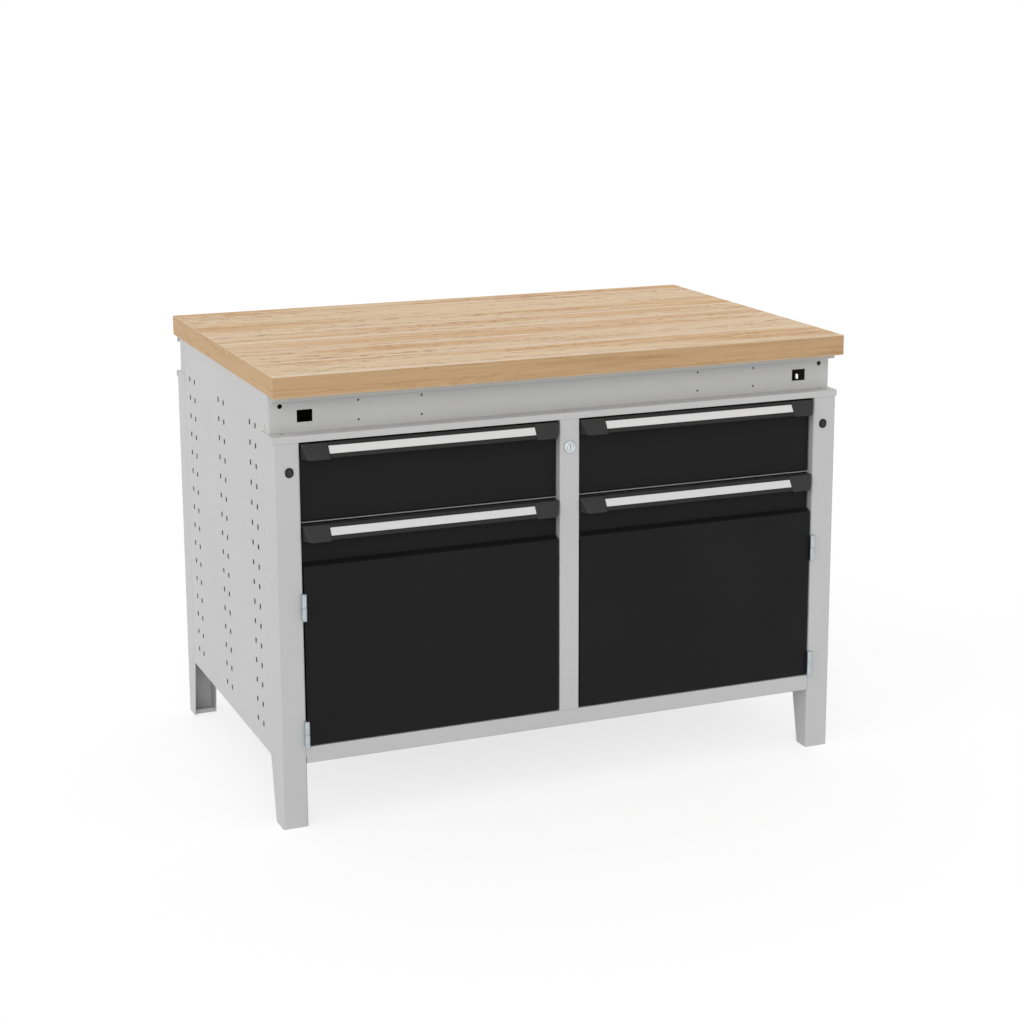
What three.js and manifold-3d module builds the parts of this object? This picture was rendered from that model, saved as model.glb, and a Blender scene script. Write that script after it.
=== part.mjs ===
// Workbench with a thick beech top over two compartments, each with a drawer above a hinged door.
// Millimetres, +Z up. The bench stands on z = 0, its front faces -Y and its middle is x = 0.

import * as THREE from "three";
import { mergeVertices } from "three/addons/utils/BufferGeometryUtils.js";
import Module from "manifold-3d";

const wasm = await Module();
wasm.setup();

// Worktop
const TOP_WIDTH = 1150;
const TOP_DEPTH = 750;
const TOP_THICK = 40;
const TOP_ROUND = 2;
const BENCH_HEIGHT = 850;
const SIDE_OVERHANG = 2.5;
const FRONT_OVERHANG = 20;
const BACK_OVERHANG = 12;

// Sheet thicknesses, the outer radii of their bends and the gap left at a butt seam
const LEG_SHEET = 2;
const PANEL_SHEET = 1.5;
const GABLE_SHEET = 1;
const DRAWER_SHEET = 1.2;
const LEG_BEND = 4;
const PANEL_BEND = 2.5;
const GABLE_BEND = 1.8;
const FRONT_SIDE_BEND = 2;
const BEND_STEPS = 4;
const SEAM = 0.3;

// Legs
const LEG_WIDTH = 48.5;
const FRONT_LEG_DEPTH = 71;
const BACK_LEG_DEPTH = 61;
const FOOT_DEPTH = 45;
const INNER_FLANGE_SETBACK = 9;
const FOOT_PLATE = 3;
const FOOT_LIP_HEIGHT = 9;

// Frame heights and rails
const APRON_HEIGHT = 72;
const APRON_SETBACK = 30;
const APRON_TOP_FLANGE = 21;
const APRON_TOP_LIP = 11;
const LEDGE_DEPTH = 60;
const LEDGE_END = 1;
const LIP_HEIGHT = 12.5;
const FLOOR_CLEARANCE = 122.5;
const RAIL_HEIGHT = 31.5;
const RAIL_FLANGE = 30;
const PANEL_FLANGE = 15;

// Cut-outs in the apron, measured from its ends and down from the worktop
const APRON_WINDOW_WIDTH = 29;
const APRON_WINDOW_HEIGHT = 22.5;
const APRON_WINDOW_INSET = 68.5;
const APRON_WINDOW_DROP = 43;
const APRON_HOLE = 9;
const APRON_HOLE_INSET = 23;
const APRON_HOLE_DROP = 23;
const SCREW_HOLE = 4;
const SCREW_HOLE_INSET = [169.5, 290.5];
const SCREW_HOLE_DROP = [22, 58];

// Slots for the joining tabs, and the square holes of the ledge in front of the apron
const TAB_SLOT_WIDTH = 3;
const TAB_SLOT_LENGTH = 11;
const RETURN_SLOT_RISE = 11;
const FLANGE_SLOT_RISE = 8;
const FLANGE_SLOT_INSET = 16;
const LEDGE_HOLE = 8.5;
const LEDGE_HOLE_INSET = 24;
const LEDGE_HOLE_GAP = 3;

// Gables with their square holes
const GABLE_FLANGE = 25;
const HOLE_SIZE = 10;
const HOLE_PITCH = 38;
const PAIR_PITCH = 228;
const HOLE_MARGIN_BOTTOM = 45;
const HOLE_MARGIN_TOP = 70;
const HOLE_MARGIN_SIDE = 45;

// Centre column and partition
const COLUMN_WIDTH = 40;
const COLUMN_DEPTH = 45;

// Divider between the drawers and the doors
const DIVIDER_SHEET = 2;
const DIVIDER_SETBACK = 3;
const DIVIDER_NECK = 160;

// Drawer and door fronts
const FRONT_RECESS = 15;
const HINGE_GAP = 2.5;
const FREE_GAP = 2;
const TOP_GAP = 3.5;
const DRAWER_FRONT_HEIGHT = 146;
const DRAWER_FLANGE = 20;
const DRAWER_DOOR_GAP = 5;
const DOOR_BOTTOM_GAP = 2;
const DOOR_DEPTH = 23;
const DOOR_RECESS_HEIGHT = 70;
const DOOR_SLOPE_DROP = 6;

// Handles: a slanted grip with a label strip between two end caps
const GRIP_HEIGHT = 28;
const GRIP_REACH = 18;
const CAP_LENGTH = 50;
const CAP_BEVEL = 11;
const CAP_WALL = 2;
const BAR_WALL = 2;
const BAR_SETBACK = 0.8;
const BAR_BACK_FLANGE = 14;
const BAR_LENGTH_ON_SLANT = 30;
const STRIP_START = 6.5;
const STRIP_WIDTH = 15.3;
const STRIP_THICK = 0.8;
const STRIP_PLAY = 0.3;

// Drawer boxes and runners
const DRAWER_DEPTH = 640;
const DRAWER_BOX_HEIGHT = 110;
const DRAWER_BOX_RISE = 9;
const RUNNER_WIDTH = 13;
const RUNNER_HEIGHT = 45;
const RUNNER_SETBACK = 39;
const RUNNER_BACK_SETBACK = 29;
const RUNNER_RISE = 54;
const RUNNER_LIP = 10.5;
const RUNNER_PLAY = 0.4;
const INNER_RAIL_LIP = 8;

// Lift-off hinges
const HINGE_HEIGHT = 50.5;
const HINGE_RADIUS = 5;
const HINGE_PIN_RADIUS = 2.4;
const HINGE_PIN_PLAY = 0.2;
const HINGE_PIN_LENGTH = 20;
const HINGE_AXIS_REACH = 6;
const HINGE_LEAF = 1.6;
const HINGE_LEAF_DEPTH = 24;
const HINGE_LEAF_HEIGHT = 20.5;
const HINGE_KNUCKLE_GAP = 0.4;
const HINGE_LOW_RISE = 1.2;
const HINGE_PITCH = 241.5;

// Lock, its locking bar and the catches on the fronts
const LOCK_DROP = 53.5;
const LOCK_RADIUS = 11.5;
const LOCK_FACE = 4;
const LOCK_CHAMFER = 1.2;
const LOCK_BODY_RADIUS = 9.5;
const LOCK_BODY_LENGTH = 24;
const LOCK_CORE_RADIUS = 6.6;
const LOCK_PLAY = 0.3;
const KEY_WIDTH = 1.6;
const KEY_HEIGHT = 8;
const KEY_DEPTH = 5;
const CAM_RADIUS = 11;
const CAM_THICK = 3;
const CAM_PIN_RADIUS = 2;
const CAM_PIN_REACH = 7;
const CAM_PIN_ANGLE = Math.PI / 4;
const BAR_GAP = 8;
const LOCK_BAR_THICK = 3;
const LOCK_BAR_WIDTH = 28;
const LOCK_BAR_END = 14;
const FINGER_HEIGHT = 8;
const FINGER_REACH = 10;
const FINGER_PLAY = 0.4;
const CATCH_DROP = 32;
const DOOR_CATCH_DROP = 15.5;
const CATCH_RISE = 1.5;
const CATCH_HEIGHT = 20;
const CATCH_INSET = 4;
const CATCH_TAIL = 6;
const NOTCH_PLAY = 1;
const NOTCH_DEPTH = 14;

// Plugs in the front legs
const PLUG_WIDTH = 15.5;
const PLUG_HEIGHT = 18;
const PLUG_HEAD = 1.6;
const PLUG_BODY_INSET = 2;
const PLUG_BODY_LENGTH = 8;
const PLUG_INSET = 20;
const PLUG_DROP = 53.5;

// Places that follow from the sizes
const TOP_UNDERSIDE = BENCH_HEIGHT - TOP_THICK;
const LEDGE_TOP = TOP_UNDERSIDE - APRON_HEIGHT;
const LEG_TOP = LEDGE_TOP - PANEL_SHEET;
const OPENING_TOP = LEDGE_TOP - LIP_HEIGHT;
const RAIL_TOP = FLOOR_CLEARANCE + RAIL_HEIGHT;
const FLOOR_TOP = RAIL_TOP - PANEL_SHEET;
const FRONT_Y = -TOP_DEPTH / 2 + FRONT_OVERHANG;
const BACK_Y = TOP_DEPTH / 2 - BACK_OVERHANG;
const PANEL_Y = FRONT_Y + FRONT_RECESS;
const OUTER_X = -TOP_WIDTH / 2 + SIDE_OVERHANG;
const LEG_INNER_X = OUTER_X + LEG_WIDTH;
const COLUMN_X = -COLUMN_WIDTH / 2;
const FRONT_X0 = LEG_INNER_X + HINGE_GAP;
const FRONT_X1 = COLUMN_X - FREE_GAP;
const FRONT_MIDDLE = (FRONT_X0 + FRONT_X1) / 2;
const FRONT_WIDTH = FRONT_X1 - FRONT_X0;
const GABLE_Y0 = FRONT_Y + FRONT_LEG_DEPTH + SEAM;
const GABLE_Y1 = BACK_Y - BACK_LEG_DEPTH - SEAM;
const DRAWER_TOP = OPENING_TOP - TOP_GAP;
const DRAWER_BOTTOM = DRAWER_TOP - DRAWER_FRONT_HEIGHT;
const DOOR_TOP = DRAWER_BOTTOM - DRAWER_DOOR_GAP;
const DOOR_BOTTOM = RAIL_TOP + DOOR_BOTTOM_GAP;
const DIVIDER_BOTTOM = DOOR_TOP + (DRAWER_DOOR_GAP - DIVIDER_SHEET) / 2;
const PARTITION_Y = FRONT_Y + COLUMN_DEPTH + SEAM;
const LOCK_Z = OPENING_TOP - LOCK_DROP;
const LOCK_BAR_Y = FRONT_Y + LOCK_BODY_LENGTH + CAM_THICK + LOCK_PLAY + BAR_GAP;
const CATCH_Z = [DRAWER_TOP - CATCH_DROP, DOOR_TOP - DOOR_CATCH_DROP];
const LOCK_TRAVEL = 2 * CAM_PIN_REACH * Math.sin(CAM_PIN_ANGLE);

// Finishes
const FINISHES = {
  beech: { color: 0xd4b491, roughness: 0.55, metalness: 0 },
  greyPaint: { color: 0xc4c5c4, roughness: 0.5, metalness: 0.1 },
  blackPaint: { color: 0x262626, roughness: 0.5, metalness: 0.1 },
  darkPlastic: { color: 0x3e3e3e, roughness: 0.6, metalness: 0 },
  paleStrip: { color: 0xdcdcdc, roughness: 0.4, metalness: 0 },
  zinc: { color: 0xb4bcc0, roughness: 0.35, metalness: 0.9 },
};

// Shapes: a closed outline, and its extrusion along each axis.
function outline(points) {
  return new THREE.Shape(points.map(([a, b]) => new THREE.Vector2(a, b)));
}

function alongZ(shape, z0, z1) {
  const depth = z1 - z0;
  const geometry = new THREE.ExtrudeGeometry(shape, { depth, bevelEnabled: false, curveSegments: 8 });
  return geometry.translate(0, 0, z0);
}

function alongX(shape, x0, x1) {
  const turn = new THREE.Matrix4().set(0, 0, 1, 0, 1, 0, 0, 0, 0, 1, 0, 0, 0, 0, 0, 1);
  return alongZ(shape, x0, x1).applyMatrix4(turn);
}

function alongY(shape, y0, y1) {
  const turn = new THREE.Matrix4().set(1, 0, 0, 0, 0, 0, -1, 0, 0, 1, 0, 0, 0, 0, 0, 1);
  return alongZ(shape, -y1, -y0).applyMatrix4(turn);
}

// An extrusion along X whose two ends are rounded off.
function alongXRounded(shape, x0, x1, radius) {
  const geometry = new THREE.ExtrudeGeometry(shape, {
    depth: x1 - x0 - 2 * radius,
    bevelThickness: radius,
    bevelSize: radius,
    bevelOffset: -radius,
    bevelSegments: BEND_STEPS,
  });
  const turn = new THREE.Matrix4().set(0, 0, 1, 0, 1, 0, 0, 0, 0, 1, 0, 0, 0, 0, 0, 1);
  return geometry.translate(0, 0, x0 + radius).applyMatrix4(turn);
}

function block(x0, x1, y0, y1, z0, z1) {
  const geometry = new THREE.BoxGeometry(x1 - x0, y1 - y0, z1 - z0);
  return geometry.translate((x0 + x1) / 2, (y0 + y1) / 2, (z0 + z1) / 2);
}

function rodAlongY(radius, x, z, y0, y1, sides) {
  return new THREE.CylinderGeometry(radius, radius, y1 - y0, sides).translate(x, (y0 + y1) / 2, z);
}

function rodAlongZ(radius, x, y, z0, z1, sides) {
  const geometry = new THREE.CylinderGeometry(radius, radius, z1 - z0, sides).rotateX(Math.PI / 2);
  return geometry.translate(x, y, (z0 + z1) / 2);
}

function rectangle(a0, a1, b0, b1) {
  return [
    [a0, b0],
    [a1, b0],
    [a1, b1],
    [a0, b1],
  ];
}

// An upright slot outline with round ends.
function oblong(a, b, width, height) {
  const radius = width / 2;
  const reach = (height - width) / 2;
  const shape = new THREE.Shape();
  shape.absarc(a, b + reach, radius, 0, Math.PI, false);
  shape.absarc(a, b - reach, radius, Math.PI, 2 * Math.PI, false);
  return shape;
}

// The inner side of a folded sheet whose outer side follows the path, with its thickness to the left.
function innerSide(path, thick) {
  return path.map((point, i) => {
    const before = path[Math.max(i - 1, 0)];
    const after = path[Math.min(i + 1, path.length - 1)];
    const into = heading(i > 0 ? before : point, i > 0 ? point : after);
    const out = heading(i < path.length - 1 ? point : before, i < path.length - 1 ? after : point);
    const share = thick / (1 + into[0] * out[0] + into[1] * out[1]);
    return [point[0] - (into[1] + out[1]) * share, point[1] + (into[0] + out[0]) * share];
  });
}

function heading(from, to) {
  const length = Math.hypot(to[0] - from[0], to[1] - from[1]);
  return [(to[0] - from[0]) / length, (to[1] - from[1]) / length];
}

function folded(path, thick) {
  return outline([...path, ...innerSide(path, thick).reverse()]);
}

// The path with an arc at each of its bends.
function rounded(path, radius) {
  return path.flatMap((point, i) => {
    if (i === 0 || i === path.length - 1) return [point];
    const into = heading(path[i - 1], point);
    const out = heading(point, path[i + 1]);
    const turn = Math.atan2(into[0] * out[1] - into[1] * out[0], into[0] * out[0] + into[1] * out[1]);
    const reach = radius * Math.tan(Math.abs(turn) / 2);
    const side = Math.sign(turn) * radius;
    const start = [point[0] - into[0] * reach, point[1] - into[1] * reach];
    const centre = [start[0] - into[1] * side, start[1] + into[0] * side];
    const from = Math.atan2(start[1] - centre[1], start[0] - centre[0]);
    const steps = Math.ceil((Math.abs(turn) * BEND_STEPS) / (Math.PI / 2));
    return Array.from({ length: steps + 1 }, (_, k) => {
      const angle = from + (turn * k) / steps;
      return [centre[0] + radius * Math.cos(angle), centre[1] + radius * Math.sin(angle)];
    });
  });
}

// A tool that rounds a long edge. The edge is seen end on at (a, b), and the body lies towards (da, db).
function edge(a, b, da, db, radius) {
  const arc = Array.from({ length: BEND_STEPS + 1 }, (_, k) => {
    const angle = (k * Math.PI) / 2 / BEND_STEPS;
    return [a + da * radius * (1 - Math.sin(angle)), b + db * radius * (1 - Math.cos(angle))];
  });
  const past = ([a0, b0], [a1, b1]) => [a0 + (a0 - a1) / 2, b0 + (b0 - b1) / 2];
  const first = past(arc[0], arc[1]);
  const last = past(arc[BEND_STEPS], arc[BEND_STEPS - 1]);
  return outline([first, ...arc.slice(1, -1), last, [a - da * radius, b - db * radius]]);
}

// Solids: join and cut closed geometry.
function solid(geometry) {
  const bare = new THREE.BufferGeometry();
  bare.setAttribute("position", geometry.getAttribute("position"));
  bare.setIndex(geometry.index);
  const merged = mergeVertices(bare, 1e-4);
  const vertProperties = merged.getAttribute("position").array;
  const triVerts = new Uint32Array(merged.index.array);
  return new wasm.Manifold(new wasm.Mesh({ numProp: 3, vertProperties, triVerts }));
}

function join(...geometries) {
  return geometries.map(solid).reduce((whole, next) => whole.add(next));
}

function cut(whole, ...tools) {
  return tools.map(solid).reduce((rest, tool) => rest.subtract(tool), whole);
}

function shown(form) {
  if (form.isBufferGeometry) return form;
  const { vertProperties, triVerts } = form.getMesh();
  const geometry = new THREE.BufferGeometry();
  geometry.setAttribute("position", new THREE.BufferAttribute(vertProperties, 3));
  geometry.setIndex(new THREE.BufferAttribute(triVerts, 1));
  const faceted = geometry.toNonIndexed();
  faceted.computeVertexNormals();
  return faceted;
}

function piece(name, form, finish) {
  const mesh = new THREE.Mesh(shown(form), new THREE.MeshStandardMaterial(FINISHES[finish]));
  mesh.name = name;
  return mesh;
}

// Worktop: one board with its long edges and its ends rounded a little.
function worktop() {
  const x = TOP_WIDTH / 2 - TOP_ROUND;
  const y = TOP_DEPTH / 2 - TOP_ROUND;
  const board = new THREE.ExtrudeGeometry(outline(rectangle(-x, x, -y, y)), {
    depth: TOP_THICK - 2 * TOP_ROUND,
    bevelThickness: TOP_ROUND,
    bevelSize: TOP_ROUND,
    bevelSegments: BEND_STEPS,
  });
  return board.translate(0, 0, TOP_UNDERSIDE + TOP_ROUND);
}

// Leg: a channel with its web on the outside of the bench and flanges that narrow towards the floor.
// Its web lies at y = 0 and its flanges run to +y. A plate with a turned-up edge closes its foot.
function leg(depth) {
  const over = LEG_TOP + 1;
  const behind = depth + 1;
  const side = outline([
    [0, 0],
    [FOOT_DEPTH, 0],
    [depth, FLOOR_CLEARANCE],
    [depth, LEG_TOP],
    [0, LEG_TOP],
  ]);
  const innerFoot = FOOT_DEPTH - INNER_FLANGE_SETBACK;
  const innerDepth = depth - INNER_FLANGE_SETBACK;
  const setback = outline([
    [innerFoot, -1],
    [behind, -1],
    [behind, over],
    [innerDepth, over],
    [innerDepth, FLOOR_CLEARANCE],
    [innerFoot, 0],
  ]);
  const hollow = outline([
    [LEG_SHEET, FOOT_PLATE],
    [innerFoot - LEG_SHEET, FOOT_PLATE],
    [innerFoot - LEG_SHEET, FOOT_LIP_HEIGHT],
    [behind, FOOT_LIP_HEIGHT],
    [behind, over],
    [LEG_SHEET, over],
  ]);
  const slotY = depth - FLANGE_SLOT_INSET;
  const slotZ = FLOOR_CLEARANCE + FLANGE_SLOT_RISE;
  const slot = oblong(slotY, slotZ, TAB_SLOT_WIDTH, TAB_SLOT_LENGTH);
  return cut(
    solid(alongX(side, OUTER_X, LEG_INNER_X)),
    alongX(setback, OUTER_X + LEG_SHEET, LEG_INNER_X + 1),
    alongX(hollow, OUTER_X + LEG_SHEET, LEG_INNER_X - LEG_SHEET),
    alongX(slot, OUTER_X - 1, OUTER_X + LEG_SHEET + 1),
    alongZ(edge(OUTER_X, 0, 1, 1, LEG_BEND), -1, over),
    alongZ(edge(LEG_INNER_X, 0, -1, 1, LEG_BEND), -1, over),
  );
}

const PLUG_X = LEG_INNER_X - PLUG_INSET;
const PLUG_Z = OPENING_TOP - PLUG_DROP;

function frontLeg() {
  const inset = PLUG_BODY_INSET - SEAM;
  const hole = oblong(PLUG_X, PLUG_Z, PLUG_WIDTH - 2 * inset, PLUG_HEIGHT - 2 * inset);
  return cut(leg(FRONT_LEG_DEPTH), alongY(hole, -LEG_SHEET, 2 * LEG_SHEET));
}

// Plug: a domed oblong cap on a body that fills the hole in the leg.
function plug() {
  const body = oblong(
    PLUG_X,
    PLUG_Z,
    PLUG_WIDTH - 2 * PLUG_BODY_INSET,
    PLUG_HEIGHT - 2 * PLUG_BODY_INSET,
  );
  const head = new THREE.ExtrudeGeometry(oblong(0, 0, PLUG_WIDTH - PLUG_HEAD, PLUG_HEIGHT - PLUG_HEAD), {
    depth: PLUG_HEAD / 2,
    bevelThickness: PLUG_HEAD / 2,
    bevelSize: PLUG_HEAD / 2,
    bevelSegments: 2,
    curveSegments: 8,
  });
  head.rotateX(Math.PI / 2).translate(PLUG_X, FRONT_Y - PLUG_HEAD / 2, PLUG_Z);
  const room = block(OUTER_X, LEG_INNER_X, FRONT_Y, BACK_Y, 0, BENCH_HEIGHT);
  return cut(solid(head), room).add(
    solid(alongY(body, FRONT_Y - PLUG_HEAD / 2, FRONT_Y + PLUG_BODY_LENGTH)),
  );
}

// Gable: a flat sheet with folded edges and three double columns of square holes.
function gable() {
  const rise = TOP_UNDERSIDE - FLOOR_CLEARANCE;
  const rows = Math.floor((rise - HOLE_MARGIN_BOTTOM - HOLE_MARGIN_TOP) / HOLE_PITCH) + 1;
  const span = GABLE_Y1 - GABLE_Y0 - 2 * HOLE_MARGIN_SIDE - HOLE_PITCH;
  const pairs = Math.floor(span / PAIR_PITCH) + 1;
  const middle = (GABLE_Y0 + GABLE_Y1) / 2;
  const half = HOLE_SIZE / 2;
  const inner = OUTER_X + GABLE_FLANGE;
  const holes = [];
  for (let pair = 0; pair < pairs; pair++) {
    for (const offset of [-HOLE_PITCH / 2, HOLE_PITCH / 2]) {
      const y = middle + (pair - (pairs - 1) / 2) * PAIR_PITCH + offset;
      for (let row = 0; row < rows; row++) {
        const z = FLOOR_CLEARANCE + HOLE_MARGIN_BOTTOM + row * HOLE_PITCH;
        holes.push(block(OUTER_X - 1, inner, y - half, y + half, z - half, z + half));
      }
    }
  }
  const hollow = block(
    OUTER_X + GABLE_SHEET,
    inner + 1,
    GABLE_Y0 + GABLE_SHEET,
    GABLE_Y1 - GABLE_SHEET,
    FLOOR_CLEARANCE + GABLE_SHEET,
    TOP_UNDERSIDE - GABLE_SHEET,
  );
  const tray = solid(block(OUTER_X, inner, GABLE_Y0, GABLE_Y1, FLOOR_CLEARANCE, TOP_UNDERSIDE));
  const low = FLOOR_CLEARANCE - 1;
  const bends = [
    alongZ(edge(OUTER_X, GABLE_Y0, 1, 1, GABLE_BEND), low, TOP_UNDERSIDE + 1),
    alongZ(edge(OUTER_X, GABLE_Y1, 1, -1, GABLE_BEND), low, TOP_UNDERSIDE + 1),
    alongY(edge(OUTER_X, FLOOR_CLEARANCE, 1, 1, GABLE_BEND), GABLE_Y0 - 1, GABLE_Y1 + 1),
  ];
  return cut(tray, hollow, ...bends, ...holes);
}

// Apron: a folded rail with a lipped flange under the worktop, a flange at its foot and closed ends.
function apron(returnEnd) {
  const face = FRONT_Y + APRON_SETBACK;
  const inside = face + LEG_SHEET;
  const lip = face - APRON_TOP_FLANGE;
  const side = outline([
    [returnEnd, LEDGE_TOP],
    [returnEnd, TOP_UNDERSIDE],
    [lip, TOP_UNDERSIDE],
    [lip, TOP_UNDERSIDE - APRON_TOP_LIP],
    [lip + LEG_SHEET, TOP_UNDERSIDE - APRON_TOP_LIP],
    [lip + LEG_SHEET, TOP_UNDERSIDE - LEG_SHEET],
    [face, TOP_UNDERSIDE - LEG_SHEET],
    [face, LEDGE_TOP],
  ]);
  const end = OUTER_X + LEG_SHEET;
  const hollow = block(end, -end, inside, returnEnd + 1, LEDGE_TOP + LEG_SHEET, TOP_UNDERSIDE + 1);
  const slotY = (face + returnEnd) / 2;
  const slotZ = LEDGE_TOP + RETURN_SLOT_RISE;
  const windowZ = TOP_UNDERSIDE - APRON_WINDOW_DROP;
  const tools = [
    alongX(oblong(slotY, slotZ, TAB_SLOT_WIDTH, TAB_SLOT_LENGTH), 2 * OUTER_X, -2 * OUTER_X),
  ];
  for (const side of [-1, 1]) {
    const bend = edge(-side * OUTER_X, face, -side, 1, LEG_BEND);
    tools.push(alongZ(bend, LEDGE_TOP - 1, TOP_UNDERSIDE - 2 * LEG_SHEET));
    const x = side * (-OUTER_X - APRON_WINDOW_INSET);
    const halfWidth = APRON_WINDOW_WIDTH / 2;
    const halfHeight = APRON_WINDOW_HEIGHT / 2;
    const z0 = windowZ - halfHeight;
    tools.push(
      block(x - halfWidth, x + halfWidth, face - 1, inside + 1, z0, windowZ + halfHeight),
      rodAlongY(
        APRON_HOLE / 2,
        side * (-OUTER_X - APRON_HOLE_INSET),
        TOP_UNDERSIDE - APRON_HOLE_DROP,
        face - 1,
        inside + 1,
        20,
      ),
    );
    for (const inset of SCREW_HOLE_INSET) {
      for (const drop of SCREW_HOLE_DROP) {
        const z = TOP_UNDERSIDE - drop;
        const screwX = side * (-OUTER_X - inset);
        tools.push(rodAlongY(SCREW_HOLE / 2, screwX, z, face - 1, inside + 1, 10));
      }
    }
  }
  return cut(solid(alongX(side, OUTER_X, -OUTER_X)), hollow, ...tools);
}

// Ledge: the rail over the legs and the column, with a short lip down their front.
function ledge() {
  const lip = FRONT_Y - PANEL_SHEET;
  const path = [
    [lip + LEDGE_DEPTH, LEDGE_TOP],
    [lip, LEDGE_TOP],
    [lip, OPENING_TOP],
  ];
  const end = OUTER_X - LEDGE_END;
  const strip = solid(alongX(folded(path, PANEL_SHEET), end, -end));
  const holeEnd = FRONT_Y + APRON_SETBACK - LEDGE_HOLE_GAP;
  const half = LEDGE_HOLE / 2;
  const holes = [OUTER_X + LEDGE_HOLE_INSET, 0, -OUTER_X - LEDGE_HOLE_INSET].map((x) =>
    block(x - half, x + half, holeEnd - LEDGE_HOLE, holeEnd, OPENING_TOP, LEDGE_TOP + 1),
  );
  return cut(strip, alongX(edge(lip, LEDGE_TOP, 1, -1, PANEL_BEND), end - 1, 1 - end), ...holes);
}

// Bottom rail: a channel between the front legs.
function bottomRail() {
  const path = [
    [FRONT_Y + RAIL_FLANGE, RAIL_TOP],
    [FRONT_Y, RAIL_TOP],
    [FRONT_Y, FLOOR_CLEARANCE],
    [FRONT_Y + RAIL_FLANGE, FLOOR_CLEARANCE],
  ];
  return cut(
    solid(alongX(folded(path, PANEL_SHEET), LEG_INNER_X, -LEG_INNER_X)),
    alongX(edge(FRONT_Y, RAIL_TOP, 1, -1, PANEL_BEND), OUTER_X, -OUTER_X),
    alongX(edge(FRONT_Y, FLOOR_CLEARANCE, 1, 1, PANEL_BEND), OUTER_X, -OUTER_X),
  );
}

// Centre column: a channel open to the back, with the lock's hole and slots for the locking fingers.
function centreColumn() {
  const path = [
    [COLUMN_X, FRONT_Y + COLUMN_DEPTH],
    [COLUMN_X, FRONT_Y],
    [-COLUMN_X, FRONT_Y],
    [-COLUMN_X, FRONT_Y + COLUMN_DEPTH],
  ];
  const channel = solid(alongZ(folded(path, PANEL_SHEET), RAIL_TOP, LEG_TOP));
  const lockHole = rodAlongY(
    LOCK_BODY_RADIUS + LOCK_PLAY,
    0,
    LOCK_Z,
    FRONT_Y - 1,
    FRONT_Y + 2 * PANEL_SHEET,
    28,
  );
  const slots = CATCH_Z.map((z) =>
    block(
      2 * COLUMN_X,
      -2 * COLUMN_X,
      LOCK_BAR_Y - FINGER_PLAY,
      LOCK_BAR_Y + LOCK_BAR_THICK + FINGER_PLAY,
      z + CATCH_RISE - LOCK_TRAVEL - FINGER_PLAY,
      z + CATCH_RISE + FINGER_HEIGHT + FINGER_PLAY,
    ),
  );
  const bends = [
    alongZ(edge(COLUMN_X, FRONT_Y, 1, 1, PANEL_BEND), 0, BENCH_HEIGHT),
    alongZ(edge(-COLUMN_X, FRONT_Y, -1, 1, PANEL_BEND), 0, BENCH_HEIGHT),
  ];
  return cut(channel, lockHole, ...bends, ...slots);
}

// Partition: a double wall behind the column, closed at the back and notched for the divider's neck.
function partition() {
  const back = BACK_Y - PANEL_SHEET - SEAM;
  const path = [
    [-COLUMN_X, PARTITION_Y],
    [-COLUMN_X, back],
    [COLUMN_X, back],
    [COLUMN_X, PARTITION_Y],
  ];
  const notch = block(
    2 * COLUMN_X,
    -2 * COLUMN_X,
    PARTITION_Y - 1,
    PARTITION_Y + DIVIDER_NECK + SEAM,
    DIVIDER_BOTTOM - SEAM,
    DIVIDER_BOTTOM + DIVIDER_SHEET + SEAM,
  );
  return cut(solid(alongZ(folded(path, PANEL_SHEET), FLOOR_TOP, LEG_TOP - PANEL_SHEET - SEAM)), notch);
}

// Divider: a sheet over both compartments, whose halves are joined by a neck behind the column.
function divider() {
  const front = PANEL_Y + DIVIDER_SETBACK;
  const neckEnd = PARTITION_Y + DIVIDER_NECK;
  const back = BACK_Y - PANEL_SHEET - SEAM;
  const right = [
    [-COLUMN_X, PARTITION_Y],
    [-COLUMN_X, front],
    [-LEG_INNER_X, front],
    [-LEG_INNER_X, back],
    [-COLUMN_X, back],
    [-COLUMN_X, neckEnd],
  ];
  const left = right.map(([x, y]) => [-x, y]).reverse();
  return alongZ(outline([...right, ...left]), DIVIDER_BOTTOM, DIVIDER_BOTTOM + DIVIDER_SHEET);
}

// Floor of the compartments: a sheet under the rail's flange, with wings that rest on the gables' folds.
function cabinetFloor() {
  const wing = OUTER_X + GABLE_SHEET + SEAM;
  const middle = LEG_INNER_X + SEAM;
  const front = FRONT_Y + PANEL_SHEET + SEAM;
  const wingFront = GABLE_Y0 + GABLE_SHEET + SEAM;
  const wingBack = GABLE_Y1 - GABLE_SHEET - SEAM;
  const back = BACK_Y - PANEL_SHEET - SEAM;
  const sheet = outline([
    [middle, front],
    [-middle, front],
    [-middle, wingFront],
    [-wing, wingFront],
    [-wing, wingBack],
    [-middle, wingBack],
    [-middle, back],
    [middle, back],
    [middle, wingBack],
    [wing, wingBack],
    [wing, wingFront],
    [middle, wingFront],
  ]);
  const skirtBottom = FLOOR_CLEARANCE + GABLE_SHEET;
  return join(
    alongZ(sheet, FLOOR_TOP - PANEL_SHEET, FLOOR_TOP),
    block(wing, wing + PANEL_SHEET, wingFront, wingBack, skirtBottom, FLOOR_TOP),
    block(-wing - PANEL_SHEET, -wing, wingFront, wingBack, skirtBottom, FLOOR_TOP),
  );
}

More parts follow.
